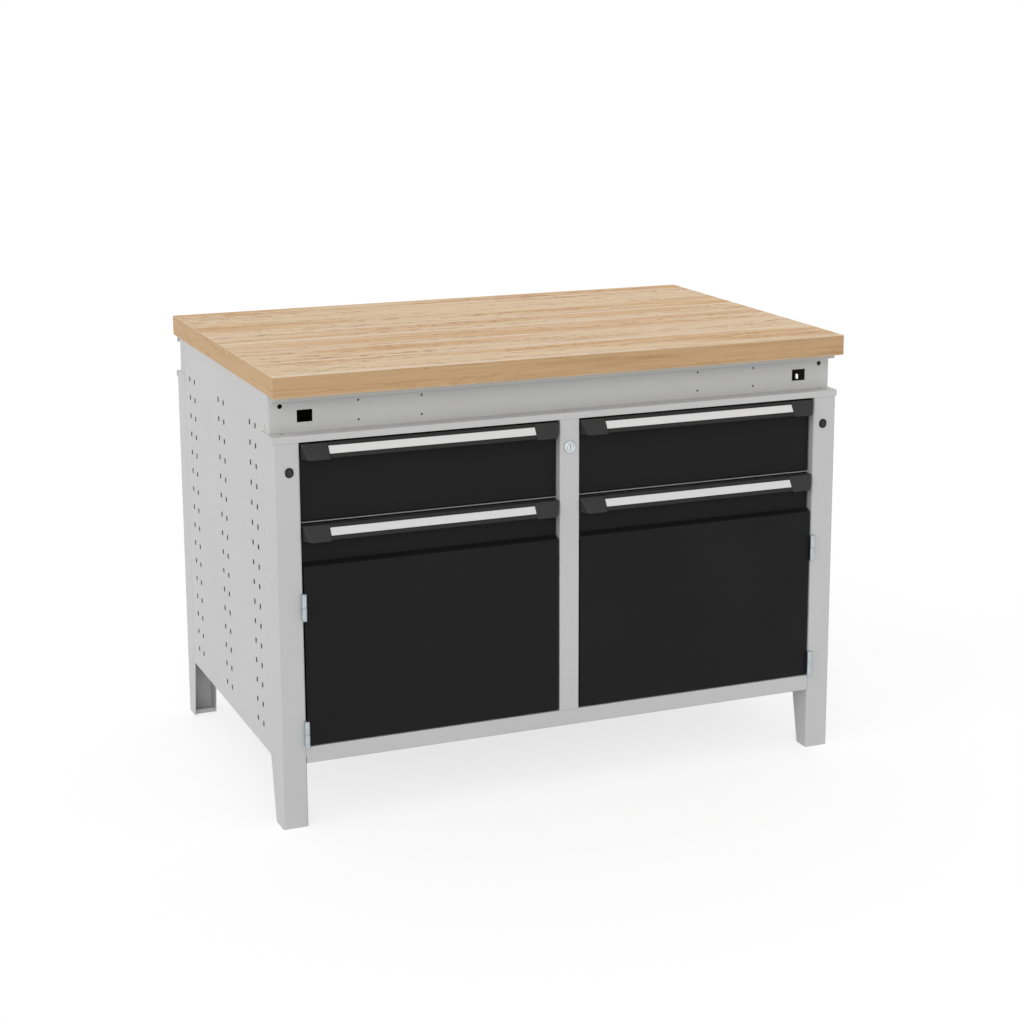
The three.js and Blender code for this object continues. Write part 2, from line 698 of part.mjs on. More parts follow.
// Back panel: a tray between the back legs, folded forward at its top and bottom.
function backPanel() {
  const fold = BACK_Y - PANEL_FLANGE;
  const path = [
    [fold, FLOOR_CLEARANCE],
    [BACK_Y, FLOOR_CLEARANCE],
    [BACK_Y, LEG_TOP],
    [fold, LEG_TOP],
  ];
  return cut(
    solid(alongX(folded(path, PANEL_SHEET), LEG_INNER_X + SEAM, -LEG_INNER_X - SEAM)),
    alongX(edge(BACK_Y, LEG_TOP, -1, -1, PANEL_BEND), OUTER_X, -OUTER_X),
    alongX(edge(BACK_Y, FLOOR_CLEARANCE, -1, 1, PANEL_BEND), OUTER_X, -OUTER_X),
  );
}

// Runners: a fixed rail and a nested middle rail, open towards the drawer.
const RUNNER_Z = DRAWER_BOTTOM + RUNNER_RISE;
const RUNNER_Y = FRONT_Y + RUNNER_SETBACK;

function runnerRail(inset) {
  const x = LEG_INNER_X + inset;
  const half = RUNNER_HEIGHT / 2 - inset;
  const lip = LEG_INNER_X + RUNNER_LIP;
  const path = [
    [lip, RUNNER_Z + half],
    [x, RUNNER_Z + half],
    [x, RUNNER_Z - half],
    [lip, RUNNER_Z - half],
  ];
  return alongY(folded(path, PANEL_SHEET), RUNNER_Y, BACK_Y - RUNNER_BACK_SETBACK);
}

// Drawer box: open on top, with the lips of its inner runner rails along both sides.
function drawerBox() {
  const x0 = LEG_INNER_X + RUNNER_WIDTH;
  const x1 = COLUMN_X - RUNNER_WIDTH;
  const y0 = PANEL_Y + PANEL_SHEET;
  const y1 = y0 + DRAWER_DEPTH;
  const z0 = DRAWER_BOTTOM + DRAWER_BOX_RISE;
  const z1 = z0 + DRAWER_BOX_HEIGHT;
  const wall = DRAWER_SHEET;
  const railHalf = RUNNER_HEIGHT / 2 - 2 * (PANEL_SHEET + RUNNER_PLAY);
  const lips = [];
  for (const z of [RUNNER_Z + railHalf - PANEL_SHEET, RUNNER_Z - railHalf]) {
    lips.push(block(x0 - INNER_RAIL_LIP, x0 + wall, RUNNER_Y, y1, z, z + PANEL_SHEET));
    lips.push(block(x1 - wall, x1 + INNER_RAIL_LIP, RUNNER_Y, y1, z, z + PANEL_SHEET));
  }
  const hollow = block(x0 + wall, x1 - wall, y0 + wall, y1 - wall, z0 + wall, z1 + wall);
  return cut(join(block(x0, x1, y0, y1, z0, z1), ...lips), hollow);
}

// Catch: a plate behind a front, with a notch that the locking finger drops into.
function catchPlate(z) {
  const x1 = FRONT_X1 - CATCH_INSET;
  const y0 = PANEL_Y + PANEL_SHEET / 2;
  const notch = LOCK_BAR_Y - NOTCH_PLAY;
  const notchEnd = LOCK_BAR_Y + LOCK_BAR_THICK + NOTCH_PLAY;
  const plate = outline([
    [y0, z - CATCH_HEIGHT],
    [notchEnd + CATCH_TAIL, z - CATCH_HEIGHT],
    [notchEnd + CATCH_TAIL, z],
    [notchEnd, z],
    [notchEnd, z - NOTCH_DEPTH],
    [notch, z - NOTCH_DEPTH],
    [notch, z],
    [y0, z],
  ]);
  return alongX(plate, x1 - PANEL_SHEET, x1);
}

// Front: a tray folded from one sheet along its side profile, with rounded bends, open to the back.
function tray(profile) {
  const back = profile[0][0];
  const behind = back + 2 * FRONT_SIDE_BEND;
  const bent = rounded(profile, PANEL_BEND);
  const inner = innerSide(bent, PANEL_SHEET);
  const reaching = (path, y) => [[y, path[0][1]], ...path.slice(1, -1), [y, path.at(-1)[1]]];
  return cut(
    solid(alongXRounded(outline(reaching(bent, behind)), FRONT_X0, FRONT_X1, FRONT_SIDE_BEND)),
    alongX(outline(reaching(inner, behind + 1)), FRONT_X0 + PANEL_SHEET, FRONT_X1 - PANEL_SHEET),
    block(OUTER_X, 0, back, behind + 1, 0, BENCH_HEIGHT),
  );
}

function drawerFront() {
  const back = PANEL_Y + DRAWER_FLANGE;
  const profile = [
    [back, DRAWER_TOP],
    [PANEL_Y, DRAWER_TOP],
    [PANEL_Y, DRAWER_BOTTOM],
    [back, DRAWER_BOTTOM],
  ];
  return tray(profile).add(solid(catchPlate(CATCH_Z[0])));
}

// Door: its upper part is set back for the hand, with a slope down to the flush panel.
function door() {
  const back = FRONT_Y + DOOR_DEPTH;
  const slopeTop = DOOR_TOP - DOOR_RECESS_HEIGHT;
  const profile = [
    [back, DOOR_TOP],
    [PANEL_Y, DOOR_TOP],
    [PANEL_Y, slopeTop],
    [FRONT_Y, slopeTop - DOOR_SLOPE_DROP],
    [FRONT_Y, DOOR_BOTTOM],
    [back, DOOR_BOTTOM],
  ];
  return tray(profile).add(solid(catchPlate(CATCH_Z[1])));
}

// Handle section: y = 0 is the front plane of the frame, z = 0 the top of the grip.
const GRIP_LENGTH = Math.hypot(GRIP_HEIGHT, GRIP_REACH);
const GRIP_DOWN = [-GRIP_REACH / GRIP_LENGTH, -GRIP_HEIGHT / GRIP_LENGTH];
const GRIP_IN = [GRIP_HEIGHT / GRIP_LENGTH, -GRIP_REACH / GRIP_LENGTH];
const BAR_HALF = FRONT_WIDTH / 2 - CAP_LENGTH;

// A point on the slanted grip, by its distance down the slant and its depth behind the caps' face.
function onGrip(down, depth) {
  return [down * GRIP_DOWN[0] + depth * GRIP_IN[0], down * GRIP_DOWN[1] + depth * GRIP_IN[1]];
}

// The y of a plane behind the caps' face at height z.
function gripAt(z, depth) {
  return (z * GRIP_REACH) / GRIP_HEIGHT + depth / GRIP_IN[0];
}

// Handle bar: a slanted grip with a channel for the strip and a round nose, open below for the fingers.
function handleBar() {
  const face = BAR_SETBACK;
  const groove = face + STRIP_THICK + STRIP_PLAY;
  const inside = groove + BAR_WALL;
  const stripEnd = STRIP_START + STRIP_WIDTH + 2 * STRIP_PLAY;
  const back = FRONT_RECESS - BAR_WALL;
  const noseRadius = (inside - face) / 2;
  const nose = Array.from({ length: 2 * BEND_STEPS + 1 }, (_, k) => {
    const angle = (k * Math.PI) / 2 / BEND_STEPS;
    const down = BAR_LENGTH_ON_SLANT - noseRadius * (1 - Math.sin(angle));
    return onGrip(down, face + noseRadius * (1 - Math.cos(angle)));
  });
  const section = outline([
    [FRONT_RECESS, 0],
    [gripAt(0, face), 0],
    onGrip(STRIP_START, face),
    onGrip(STRIP_START, groove),
    onGrip(stripEnd, groove),
    onGrip(stripEnd, face),
    ...nose,
    [gripAt(-BAR_WALL, inside), -BAR_WALL],
    [back, -BAR_WALL],
    [back, -BAR_BACK_FLANGE],
    [FRONT_RECESS, -BAR_BACK_FLANGE],
  ]);
  return alongX(section, -BAR_HALF + SEAM, BAR_HALF - SEAM);
}

function labelStrip() {
  const top = STRIP_START + STRIP_PLAY;
  const section = outline([
    onGrip(top, BAR_SETBACK),
    onGrip(top, BAR_SETBACK + STRIP_THICK),
    onGrip(top + STRIP_WIDTH, BAR_SETBACK + STRIP_THICK),
    onGrip(top + STRIP_WIDTH, BAR_SETBACK),
  ]);
  return alongX(section, -BAR_HALF + SEAM, BAR_HALF - SEAM);
}

// End cap: a hollow wedge, bevelled back at its outer end and open towards the bar.
function handleCap() {
  const end = FRONT_WIDTH / 2;
  const wedge = outline([
    [FRONT_RECESS, 0],
    [0, 0],
    [-GRIP_REACH, -GRIP_HEIGHT],
    [FRONT_RECESS, -GRIP_HEIGHT],
  ]);
  const floor = CAP_WALL - GRIP_HEIGHT;
  const hollow = outline([
    [FRONT_RECESS - CAP_WALL, -CAP_WALL],
    [gripAt(-CAP_WALL, CAP_WALL), -CAP_WALL],
    [gripAt(floor, CAP_WALL), floor],
    [FRONT_RECESS - CAP_WALL, floor],
  ]);
  const bevel = outline([
    [end, 0],
    [end - CAP_BEVEL, -GRIP_REACH],
    [end - CAP_BEVEL, -2 * GRIP_REACH],
    [2 * end, -2 * GRIP_REACH],
    [2 * end, 0],
  ]);
  return cut(
    solid(alongX(wedge, BAR_HALF, end)),
    alongZ(bevel, -2 * GRIP_HEIGHT, GRIP_HEIGHT),
    alongX(hollow, BAR_HALF - CAP_WALL, end - CAP_BEVEL - CAP_WALL),
  );
}

// Hinges: the lower half with its pin is fixed to the leg, the upper half to the door's edge.
const HINGE_X = LEG_INNER_X;
const HINGE_Y = FRONT_Y - HINGE_AXIS_REACH;
const HINGE_Z0 = RAIL_TOP + HINGE_LOW_RISE;
const HINGE_KNUCKLE = (HINGE_HEIGHT - HINGE_KNUCKLE_GAP) / 2;

function hingeFrameHalf() {
  const top = HINGE_Z0 + HINGE_KNUCKLE;
  return join(
    rodAlongZ(HINGE_RADIUS, HINGE_X, HINGE_Y, HINGE_Z0, top, 24),
    rodAlongZ(HINGE_PIN_RADIUS, HINGE_X, HINGE_Y, HINGE_Z0 + 1, top + HINGE_PIN_LENGTH, 16),
    block(
      HINGE_X,
      HINGE_X + HINGE_LEAF,
      HINGE_Y,
      HINGE_Y + HINGE_LEAF_DEPTH,
      top - HINGE_LEAF_HEIGHT,
      top,
    ),
  );
}

function hingeDoorHalf() {
  const bottom = HINGE_Z0 + HINGE_KNUCKLE + HINGE_KNUCKLE_GAP;
  const bore = HINGE_PIN_RADIUS + HINGE_PIN_PLAY;
  const half = join(
    rodAlongZ(HINGE_RADIUS, HINGE_X, HINGE_Y, bottom, bottom + HINGE_KNUCKLE, 24),
    block(
      FRONT_X0 - HINGE_LEAF,
      FRONT_X0,
      HINGE_Y,
      HINGE_Y + HINGE_LEAF_DEPTH,
      bottom,
      bottom + HINGE_LEAF_HEIGHT,
    ),
  );
  return cut(half, rodAlongZ(bore, HINGE_X, HINGE_Y, bottom - 1, bottom + HINGE_PIN_LENGTH + 1, 16));
}

// Lock: a flanged housing, and a core whose cam pin moves the locking bar.
function lockHousing() {
  const front = FRONT_Y - LOCK_FACE;
  const back = FRONT_Y + LOCK_BODY_LENGTH;
  const bore = LOCK_CORE_RADIUS + LOCK_PLAY;
  const profile = [
    [bore, back],
    [bore, front],
    [LOCK_RADIUS - LOCK_CHAMFER, front],
    [LOCK_RADIUS, front + LOCK_CHAMFER],
    [LOCK_RADIUS, FRONT_Y],
    [LOCK_BODY_RADIUS, FRONT_Y],
    [LOCK_BODY_RADIUS, back],
    [bore, back],
  ];
  const points = profile.map(([r, y]) => new THREE.Vector2(r, y));
  return new THREE.LatheGeometry(points, 28).translate(0, 0, LOCK_Z);
}

function lockCore() {
  const front = FRONT_Y - LOCK_FACE - LOCK_PLAY;
  const cam = FRONT_Y + LOCK_BODY_LENGTH + LOCK_PLAY;
  const pinX = CAM_PIN_REACH * Math.cos(CAM_PIN_ANGLE);
  const pinZ = LOCK_Z + CAM_PIN_REACH * Math.sin(CAM_PIN_ANGLE);
  const pinEnd = LOCK_BAR_Y + LOCK_BAR_THICK + 1;
  const half = KEY_WIDTH / 2;
  const core = join(
    rodAlongY(LOCK_CORE_RADIUS, 0, LOCK_Z, front, cam + 1, 24),
    rodAlongY(CAM_RADIUS, 0, LOCK_Z, cam, cam + CAM_THICK, 24),
    rodAlongY(CAM_PIN_RADIUS, pinX, pinZ, cam + 1, pinEnd, 12),
  );
  const keyTop = LOCK_Z + KEY_HEIGHT / 2;
  return cut(core, block(-half, half, front - 1, front + KEY_DEPTH, keyTop - KEY_HEIGHT, keyTop));
}

// Locking bar: an upright strip with a pair of fingers for the drawers and a pair for the doors.
function lockBar() {
  const halfWidth = LOCK_BAR_WIDTH / 2;
  const reach = -FRONT_X1 + CATCH_INSET + PANEL_SHEET + NOTCH_PLAY;
  const fingers = CATCH_Z.map((z) => z + CATCH_RISE);
  const top = fingers[0] + FINGER_HEIGHT + LOCK_BAR_END;
  const bottom = fingers[1] - LOCK_BAR_END;
  const y0 = LOCK_BAR_Y;
  const y1 = LOCK_BAR_Y + LOCK_BAR_THICK;
  const play = CAM_PIN_RADIUS + FINGER_PLAY;
  const pinZ = LOCK_Z + CAM_PIN_REACH * Math.sin(CAM_PIN_ANGLE);
  const slotX0 = CAM_PIN_REACH * Math.cos(CAM_PIN_ANGLE) - play;
  const bar = join(
    block(-halfWidth, halfWidth, y0, y1, bottom, top),
    ...fingers.map((z) => block(-reach, reach, y0, y1, z, z + FINGER_HEIGHT)),
  );
  const slot = block(slotX0, CAM_PIN_REACH + play, y0 - 1, y1 + 1, pinZ - play, pinZ + play);
  return cut(bar, slot);
}

// Assembly: the middle of the bench, then the left half and its mirror image.
const bench = new THREE.Group();
bench.name = "workbench";
bench.add(
  piece("worktop", worktop(), "beech"),
  piece("bottom_rail", bottomRail(), "greyPaint"),
  piece("centre_column", centreColumn(), "greyPaint"),
  piece("partition", partition(), "greyPaint"),
  piece("divider", divider(), "greyPaint"),
  piece("cabinet_floor", cabinetFloor(), "greyPaint"),
  piece("back_panel", backPanel(), "greyPaint"),
  piece("apron_front", apron(GABLE_Y0 - SEAM), "greyPaint"),
  piece("ledge_front", ledge(), "greyPaint"),
  piece("lock_housing", lockHousing(), "zinc"),
  piece("lock_core", lockCore(), "zinc"),
  piece("lock_bar", lockBar(), "zinc"),
);

// The back rails are the front ones turned round.
const backRails = new THREE.Group();
backRails.position.y = FRONT_Y + BACK_Y;
backRails.rotation.z = Math.PI;
backRails.add(
  piece("apron_back", apron(FRONT_Y + BACK_LEG_DEPTH), "greyPaint"),
  piece("ledge_back", ledge(), "greyPaint"),
);
bench.add(backRails);

function handle(name, top) {
  const group = new THREE.Group();
  group.position.set(FRONT_MIDDLE, FRONT_Y, top);
  const innerCap = piece(`cap_inner_${name}`, handleCap(), "darkPlastic");
  const outerCap = piece(`cap_outer_${name}`, handleCap(), "darkPlastic");
  outerCap.scale.x = -1;
  group.add(
    piece(`handle_bar_${name}`, handleBar(), "darkPlastic"),
    piece(`label_strip_${name}`, labelStrip(), "paleStrip"),
    innerCap,
    outerCap,
  );
  return group;
}

function benchHalf(side) {
  const half = new THREE.Group();
  const named = (name, form, finish) => piece(`${name}_${side}`, form, finish);

  const frontLegMesh = named("leg_front", frontLeg(), "greyPaint");
  frontLegMesh.position.y = FRONT_Y;
  const backLegMesh = named("leg_back", leg(BACK_LEG_DEPTH), "greyPaint");
  backLegMesh.position.y = BACK_Y;
  backLegMesh.scale.y = -1;
  half.add(
    frontLegMesh,
    backLegMesh,
    named("gable", gable(), "greyPaint"),
    named("plug", plug(), "darkPlastic"),
  );

  const middleInset = PANEL_SHEET + RUNNER_PLAY;
  for (const place of ["outer", "inner"]) {
    const pair = new THREE.Group();
    pair.add(
      named(`runner_fixed_${place}`, runnerRail(0), "zinc"),
      named(`runner_middle_${place}`, runnerRail(middleInset), "zinc"),
    );
    if (place === "inner") {
      pair.scale.x = -1;
      pair.position.x = LEG_INNER_X + COLUMN_X;
    }
    half.add(pair);
  }

  half.add(
    named("drawer_front", drawerFront(), "blackPaint"),
    named("drawer_box", drawerBox(), "greyPaint"),
    handle(`drawer_${side}`, DRAWER_TOP),
    named("door", door(), "blackPaint"),
    handle(`door_${side}`, DOOR_TOP),
  );

  const hingeRises = { lower: 0, upper: HINGE_PITCH };
  for (const [place, rise] of Object.entries(hingeRises)) {
    const hinge = new THREE.Group();
    hinge.position.z = rise;
    hinge.add(
      named(`hinge_frame_${place}`, hingeFrameHalf(), "zinc"),
      named(`hinge_door_${place}`, hingeDoorHalf(), "zinc"),
    );
    half.add(hinge);
  }
  return half;
}

const rightHalf = benchHalf("right");
rightHalf.scale.x = -1;
bench.add(benchHalf("left"), rightHalf);

export default bench;
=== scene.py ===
"""Looks of the workbench: camera, light, procedural materials, softened edges and small fasteners."""

import math

import bmesh
import bpy
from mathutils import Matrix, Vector


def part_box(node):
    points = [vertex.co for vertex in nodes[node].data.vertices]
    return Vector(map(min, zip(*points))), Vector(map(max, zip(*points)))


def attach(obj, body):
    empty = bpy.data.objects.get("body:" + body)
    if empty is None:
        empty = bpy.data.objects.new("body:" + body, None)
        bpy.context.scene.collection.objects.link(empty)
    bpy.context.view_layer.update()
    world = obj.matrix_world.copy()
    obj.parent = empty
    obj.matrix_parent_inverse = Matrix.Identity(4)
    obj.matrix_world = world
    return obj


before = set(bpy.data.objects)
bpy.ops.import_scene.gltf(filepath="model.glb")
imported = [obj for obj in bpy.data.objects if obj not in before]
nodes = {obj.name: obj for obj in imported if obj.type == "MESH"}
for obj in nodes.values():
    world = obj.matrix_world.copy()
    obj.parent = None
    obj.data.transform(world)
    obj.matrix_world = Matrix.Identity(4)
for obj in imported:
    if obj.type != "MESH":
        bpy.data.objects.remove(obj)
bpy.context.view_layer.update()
scene = bpy.context.scene


# Camera at the photograph's viewing angle

IMAGE_PIXELS = 1024.0
FOCAL_PIXELS = 2130.6
SENSOR_WIDTH = 36.0
CAMERA_PLACE = Vector((-1.5594, -3.9288, 1.5398))
CAMERA_YAW = math.radians(-23.111)
CAMERA_PITCH = math.radians(12.098)
CAMERA_SHIFT = (-0.04, -0.08)
CLIP_END = 100.0


def turned_to(direction):
    """Rotation of a camera or lamp that points along a direction."""
    return direction.to_track_quat("-Z", "Y")


lens = bpy.data.cameras.new("camera")
lens.sensor_width = SENSOR_WIDTH
lens.lens = SENSOR_WIDTH * FOCAL_PIXELS / IMAGE_PIXELS
lens.shift_x, lens.shift_y = CAMERA_SHIFT
lens.clip_end = CLIP_END
camera = bpy.data.objects.new("camera", lens)
scene.collection.objects.link(camera)
camera.location = CAMERA_PLACE
camera.rotation_mode = "QUATERNION"
camera.rotation_quaternion = turned_to(Vector((
    -math.sin(CAMERA_YAW) * math.cos(CAMERA_PITCH),
    math.cos(CAMERA_YAW) * math.cos(CAMERA_PITCH),
    -math.sin(CAMERA_PITCH),
)))
scene.camera = camera
scene.view_settings.view_transform = "Standard"


# Node graphs

RIM_SAMPLES = 4
RIM_TURN = (0.80, 0.985)      # cosine between rounded and own normal, at an edge and away from it
RIM_PATCHES = (0.35, 0.62)    # noise from untouched to worn
RIM_UNTOUCHED = 0.25
BAND_RANDOMNESS = 0.9


def opaque(colour):
    """A plain colour with its alpha; a socket passes through."""
    return (*colour, 1.0) if isinstance(colour, tuple) else colour


class Graph:
    """Short calls that build one material."""

    def __init__(self, name):
        self.material = bpy.data.materials.new(name)
        self.material.use_nodes = True
        self.tree = self.material.node_tree
        self.tree.nodes.clear()
        self.shader = self.node("ShaderNodeBsdfPrincipled")
        output = self.node("ShaderNodeOutputMaterial")
        self.tree.links.new(self.shader.outputs["BSDF"], output.inputs["Surface"])
        coordinates = self.node("ShaderNodeTexCoord")
        self.place = coordinates.outputs["Object"]
        self.normal = coordinates.outputs["Normal"]

    def node(self, kind, **settings):
        made = self.tree.nodes.new(kind)
        for key, value in settings.items():
            setattr(made, key, value)
        return made

    def put(self, value, socket):
        if isinstance(value, bpy.types.NodeSocket):
            self.tree.links.new(value, socket)
        else:
            socket.default_value = value

    def math(self, operation, first, second=0.0):
        made = self.node("ShaderNodeMath", operation=operation)
        self.put(first, made.inputs[0])
        self.put(second, made.inputs[1])
        return made.outputs[0]

    def product(self, first, *others):
        for other in others:
            first = self.math("MULTIPLY", first, other)
        return first

    def split(self, vector):
        made = self.node("ShaderNodeSeparateXYZ")
        self.put(vector, made.inputs[0])
        return made.outputs[0], made.outputs[1], made.outputs[2]

    def join(self, x, y, z):
        made = self.node("ShaderNodeCombineXYZ")
        for value, socket in zip((x, y, z), made.inputs):
            self.put(value, socket)
        return made.outputs[0]

    def noise(self, vector, scale, detail=2.0, roughness=0.5, distortion=0.0):
        made = self.node("ShaderNodeTexNoise")
        self.put(vector, made.inputs["Vector"])
        made.inputs["Scale"].default_value = scale
        made.inputs["Detail"].default_value = detail
        made.inputs["Roughness"].default_value = roughness
        made.inputs["Distortion"].default_value = distortion
        return made.outputs["Fac"]

    def rim(self, radius, patches):
        """Worn patches along the edges, where a rounded normal turns away from the face's own."""
        rounded = self.node("ShaderNodeBevel", samples=RIM_SAMPLES)
        rounded.inputs["Radius"].default_value = radius
        turn = self.node("ShaderNodeVectorMath", operation="DOT_PRODUCT")
        self.put(rounded.outputs[0], turn.inputs[0])
        self.put(self.node("ShaderNodeNewGeometry").outputs["Normal"], turn.inputs[1])
        near = self.range(turn.outputs["Value"], *RIM_TURN, to_low=1.0, to_high=0.0)
        rubbed = self.noise(self.place, patches, detail=3.0)
        return self.product(near, self.range(rubbed, *RIM_PATCHES, to_low=RIM_UNTOUCHED))

    def bands(self, value, width, feature="F1"):
        made = self.node("ShaderNodeTexVoronoi", voronoi_dimensions="1D", feature=feature)
        self.put(value, made.inputs["W"])
        made.inputs["Scale"].default_value = 1.0 / width
        made.inputs["Randomness"].default_value = BAND_RANDOMNESS
        return made

    def range(self, value, low, high, to_low=0.0, to_high=1.0):
        made = self.node("ShaderNodeMapRange", interpolation_type="SMOOTHSTEP")
        self.put(value, made.inputs["Value"])
        made.inputs["From Min"].default_value = low
        made.inputs["From Max"].default_value = high
        made.inputs["To Min"].default_value = to_low
        made.inputs["To Max"].default_value = to_high
        return made.outputs[0]

    def mix(self, share, first, second):
        made = self.node("ShaderNodeMix", data_type="RGBA")
        self.put(share, made.inputs["Factor"])
        self.put(opaque(first), made.inputs[6])
        self.put(opaque(second), made.inputs[7])
        return made.outputs[2]

    def choose(self, share, first, second):
        made = self.node("ShaderNodeMix", data_type="FLOAT")
        self.put(share, made.inputs[0])
        self.put(first, made.inputs[2])
        self.put(second, made.inputs[3])
        return made.outputs[0]

    def bump(self, height, strength, distance):
        made = self.node("ShaderNodeBump")
        made.inputs["Strength"].default_value = strength
        made.inputs["Distance"].default_value = distance
        self.put(height, made.inputs["Height"])
        self.put(made.outputs[0], self.shader.inputs["Normal"])

    def set(self, **values):
        """Shader sockets by name, with underscores for spaces."""
        for key, value in values.items():
            self.put(value, self.shader.inputs[key.replace("_", " ")])


# Powder coat: a very fine orange peel, a soft cloud of tone, and a thinner coat along the edges

WIDE_SPREAD = (0.3, 0.7)      # where most of a noise lies
NARROW_SPREAD = (0.35, 0.65)
COAT_GRAIN_SHARE = 0.3
COAT_SMEAR = 0.025
COAT_POLISH = 0.06            # how much smoother a worn edge is


def powder_coat(name, dark, light, thin, roughness, specular, peel):
    graph = Graph(name)
    cloud = graph.noise(graph.place, scale=5.0, detail=3.0)
    grain = graph.noise(graph.place, scale=700.0)
    tone = graph.choose(COAT_GRAIN_SHARE, cloud, grain)
    edge_mark = graph.rim(radius=0.0012, patches=60.0)
    colour = graph.mix(graph.range(tone, *WIDE_SPREAD), dark, light)
    smear = graph.noise(graph.place, scale=45.0, detail=4.0)
    rough = graph.range(smear, *WIDE_SPREAD, roughness - COAT_SMEAR, roughness + COAT_SMEAR)
    graph.set(
        Base_Color=graph.mix(edge_mark, colour, thin),
        Roughness=graph.math("SUBTRACT", rough, graph.product(edge_mark, COAT_POLISH)),
        Specular_IOR_Level=specular,
    )
    graph.bump(graph.noise(graph.place, scale=420.0, detail=3.0), strength=peel, distance=0.0004)
    return graph.material


grey_paint = powder_coat(
    "grey_paint",
    dark=(0.532, 0.536, 0.532), light=(0.548, 0.552, 0.548), thin=(0.585, 0.589, 0.585),
    roughness=0.45, specular=0.35, peel=0.05,
)
black_paint = powder_coat(
    "black_paint",
    dark=(0.0115, 0.0115, 0.0116), light=(0.0131, 0.0131, 0.0132), thin=(0.022, 0.022, 0.0221),
    roughness=0.42, specular=0.09, peel=0.06,
)
# Darker grey of the divider, whose front edge shows in the gap between drawer and door: painted shade
divider_shade_paint = powder_coat(
    "divider_shade_paint",
    dark=(0.355, 0.358, 0.355), light=(0.37, 0.373, 0.37), thin=(0.39, 0.393, 0.39),
    roughness=0.5, specular=0.3, peel=0.05,
)


# Moulded plastic with a spark-eroded grain, rubbed at the edges of the handles, and with a deep black rim
# on the cover plugs that is painted shade of their seams

RUBBED_SHARE = 0.16
RUBBED_TONE = (0.028, 0.028, 0.028)
PLUG_RIM = 0.0030
PLUG_SEAM_SHADE_TONE = (0.004, 0.004, 0.004)
MOULD_GRAIN_SHARE = 0.5
MOULD_SMEAR = 0.06
MOULD_POLISH = 0.08


def rubbed_edges(graph):
    return graph.product(graph.rim(radius=0.0010, patches=90.0), RUBBED_SHARE)


def plug_seam_shade(graph):
    """Painted shade of the seam: the black outer part of an oblong plug head, by the distance from its
    middle line, the same on both legs.
    """
    low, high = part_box("plug_right")
    middle = (low + high) / 2
    half = (high - low) / 2
    x, _, z = graph.split(graph.place)
    aside = graph.math("SUBTRACT", graph.math("ABSOLUTE", x), middle.x)
    height = graph.math("ABSOLUTE", graph.math("SUBTRACT", z, middle.z))
    above = graph.math("MAXIMUM", graph.math("SUBTRACT", height, half.z - half.x), 0.0)
    square = graph.math("ADD", graph.product(aside, aside), graph.product(above, above))
    return graph.range(graph.math("SQRT", square), half.x - PLUG_RIM, half.x - PLUG_RIM / 2)


def moulded(name, dark, light, roughness, specular, edges=rubbed_edges, edge_tone=RUBBED_TONE):
    graph = Graph(name)
    grain = graph.noise(graph.place, scale=900.0, roughness=0.6)
    cloud = graph.noise(graph.place, scale=20.0)
    tone = graph.choose(MOULD_GRAIN_SHARE, cloud, grain)
    # Rubbed edges on the handles; on the plugs this is the rim of painted seam shade
    edge_mark = edges(graph)
    colour = graph.mix(graph.range(tone, *NARROW_SPREAD), dark, light)
    rough = graph.range(grain, *NARROW_SPREAD, roughness - MOULD_SMEAR, roughness + MOULD_SMEAR)
    graph.set(
        Base_Color=graph.mix(edge_mark, colour, edge_tone),
        Roughness=graph.math("SUBTRACT", rough, graph.product(edge_mark, MOULD_POLISH)),
        Specular_IOR_Level=specular,
    )
    graph.bump(grain, strength=0.12, distance=0.0003)
    return graph.material


cap_plastic = moulded(
    "cap_plastic", dark=(0.011, 0.011, 0.011), light=(0.016, 0.016, 0.016), roughness=0.45, specular=0.41)
bar_plastic = moulded(
    "bar_plastic", dark=(0.008, 0.008, 0.008), light=(0.011, 0.011, 0.011), roughness=0.36, specular=0.33)
# The plugs' black rim is painted shade of the seam round each head
plug_plastic = moulded(
    "plug_plastic", dark=(0.042, 0.042, 0.043), light=(0.050, 0.050, 0.051), roughness=0.5, specular=0.06,
    edges=plug_seam_shade, edge_tone=PLUG_SEAM_SHADE_TONE)


# Label strip: pale card behind a clear film

CARD_DARK = (0.69, 0.69, 0.69)
CARD_LIGHT = (0.725, 0.725, 0.725)
CARD_ROUGHNESS = (0.3, 0.38)


def label_card():
    graph = Graph("label_card")
    fibre = graph.noise(graph.place, scale=260.0, detail=4.0, roughness=0.6)
    graph.set(
        Base_Color=graph.mix(graph.range(fibre, *WIDE_SPREAD), CARD_DARK, CARD_LIGHT),
        Roughness=graph.range(fibre, *WIDE_SPREAD, *CARD_ROUGHNESS),
        Specular_IOR_Level=0.4,
        Coat_Weight=0.3,
        Coat_Roughness=0.12,
    )
    return graph.material


label_finish = label_card()


# Zinc plate and the brighter nickel of the lock

PLATE_SMOOTHER = 0.06
PLATE_ROUGHER = 0.08


def plated(name, dark, light, roughness):
    graph = Graph(name)
    cloud = graph.noise(graph.place, scale=160.0, detail=4.0, roughness=0.65)
    smear = graph.noise(graph.place, scale=420.0, detail=3.0)
    graph.set(
        Base_Color=graph.mix(graph.range(cloud, *WIDE_SPREAD), dark, light),
        Metallic=1.0,
        Roughness=graph.range(smear, *WIDE_SPREAD, roughness - PLATE_SMOOTHER, roughness + PLATE_ROUGHER),
    )
    graph.bump(graph.noise(graph.place, scale=1100.0), strength=0.05, distance=0.0002)
    return graph.material


zinc = plated("zinc", dark=(0.45, 0.505, 0.525), light=(0.54, 0.60, 0.62), roughness=0.36)
nickel = plated("nickel", dark=(0.61, 0.655, 0.67), light=(0.68, 0.725, 0.74), roughness=0.22)


# Beech: lamellae of uneven width along the length, each with its own tone, with streaks,
# rows of brown flecks and pale glue lines

